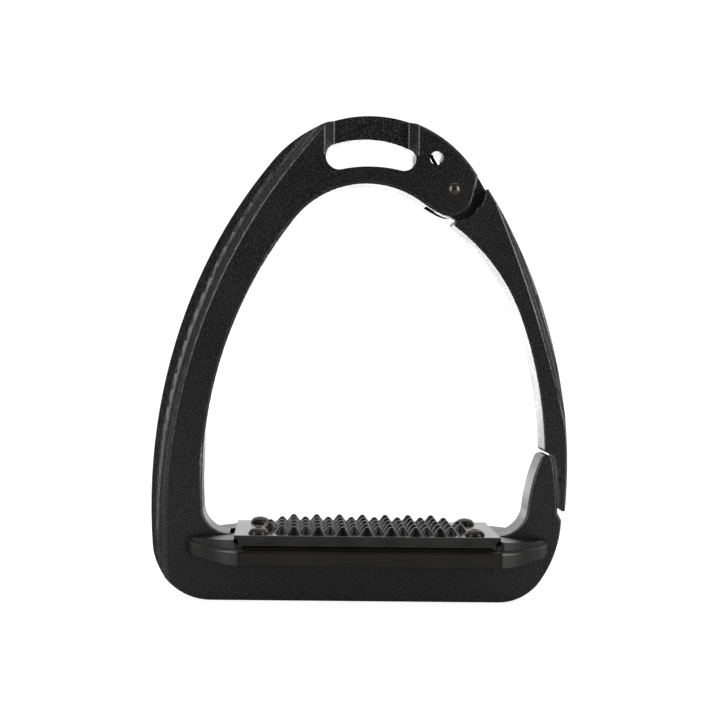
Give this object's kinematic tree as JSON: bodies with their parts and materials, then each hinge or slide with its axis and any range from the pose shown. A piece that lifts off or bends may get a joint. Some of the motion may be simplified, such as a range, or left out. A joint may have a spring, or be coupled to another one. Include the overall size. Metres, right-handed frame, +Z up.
{
  "type": "stirrup iron",
  "caption": "Safety stirrup iron with a sprung outer branch that swings open, a slotted crown and a toothed tread plate on a flat footbed.",
  "frame": {"origin": "on the ground under the flat bottom bar, at the middle of the overall width, in the frame's mid-plane", "axes": "+X across the tread towards the swing arm, +Y from front to back of the footbed, +Z up to the leather slot"},
  "size_m": [0.15, 0.0466, 0.1756],
  "materials": {
    "powder_coat": "fine-grained matt black powder coat on aluminium",
    "satin_black": "smooth satin black coat with a warm cast",
    "gloss_plate": "semi-gloss black coat on formed sheet",
    "dark_pin": "blackened steel, polished dome",
    "steel": "spring steel",
    "spring_wire": "dark oiled spring wire",
    "black_screw": "blackened screws",
    "bronze": "sintered bronze",
    "brass": "turned brass",
    "nylon": "natural nylon",
    "rubber": "black rubber"
  },
  "bodies": {
    "stirrup": {"frame": "powder_coat", "pivot_pin": "dark_pin", "pin_retaining_ring": "steel", "front_thrust_washer": "nylon", "rear_thrust_washer": "nylon", "return_spring": "spring_wire", "closing_bumper": "rubber", "footbed": "satin_black", "grip_plate": "gloss_plate", "tread_screw_1": "black_screw", "tread_insert_1": "brass", "tread_screw_2": "black_screw", "tread_insert_2": "brass", "tread_screw_3": "black_screw", "tread_insert_3": "brass", "tread_screw_4": "black_screw", "tread_insert_4": "brass", "footbed_screw_1": "black_screw", "footbed_insert_1": "brass", "footbed_screw_2": "black_screw", "footbed_insert_2": "brass"},
    "arm": {"swing_arm": "powder_coat", "arm_bushing": "bronze"}
  },
  "joints": [
    {"name": "arm_swing", "type": "hinge", "parent": "stirrup", "child": "arm", "pos_m": [0.0331, 0, 0.1489], "axis": [0, -1, 0], "range_deg": [0, 50], "stiffness_Nm_per_rad": 0.25, "springref_deg": -20.05, "deforming": ["return_spring"]}
  ]
}
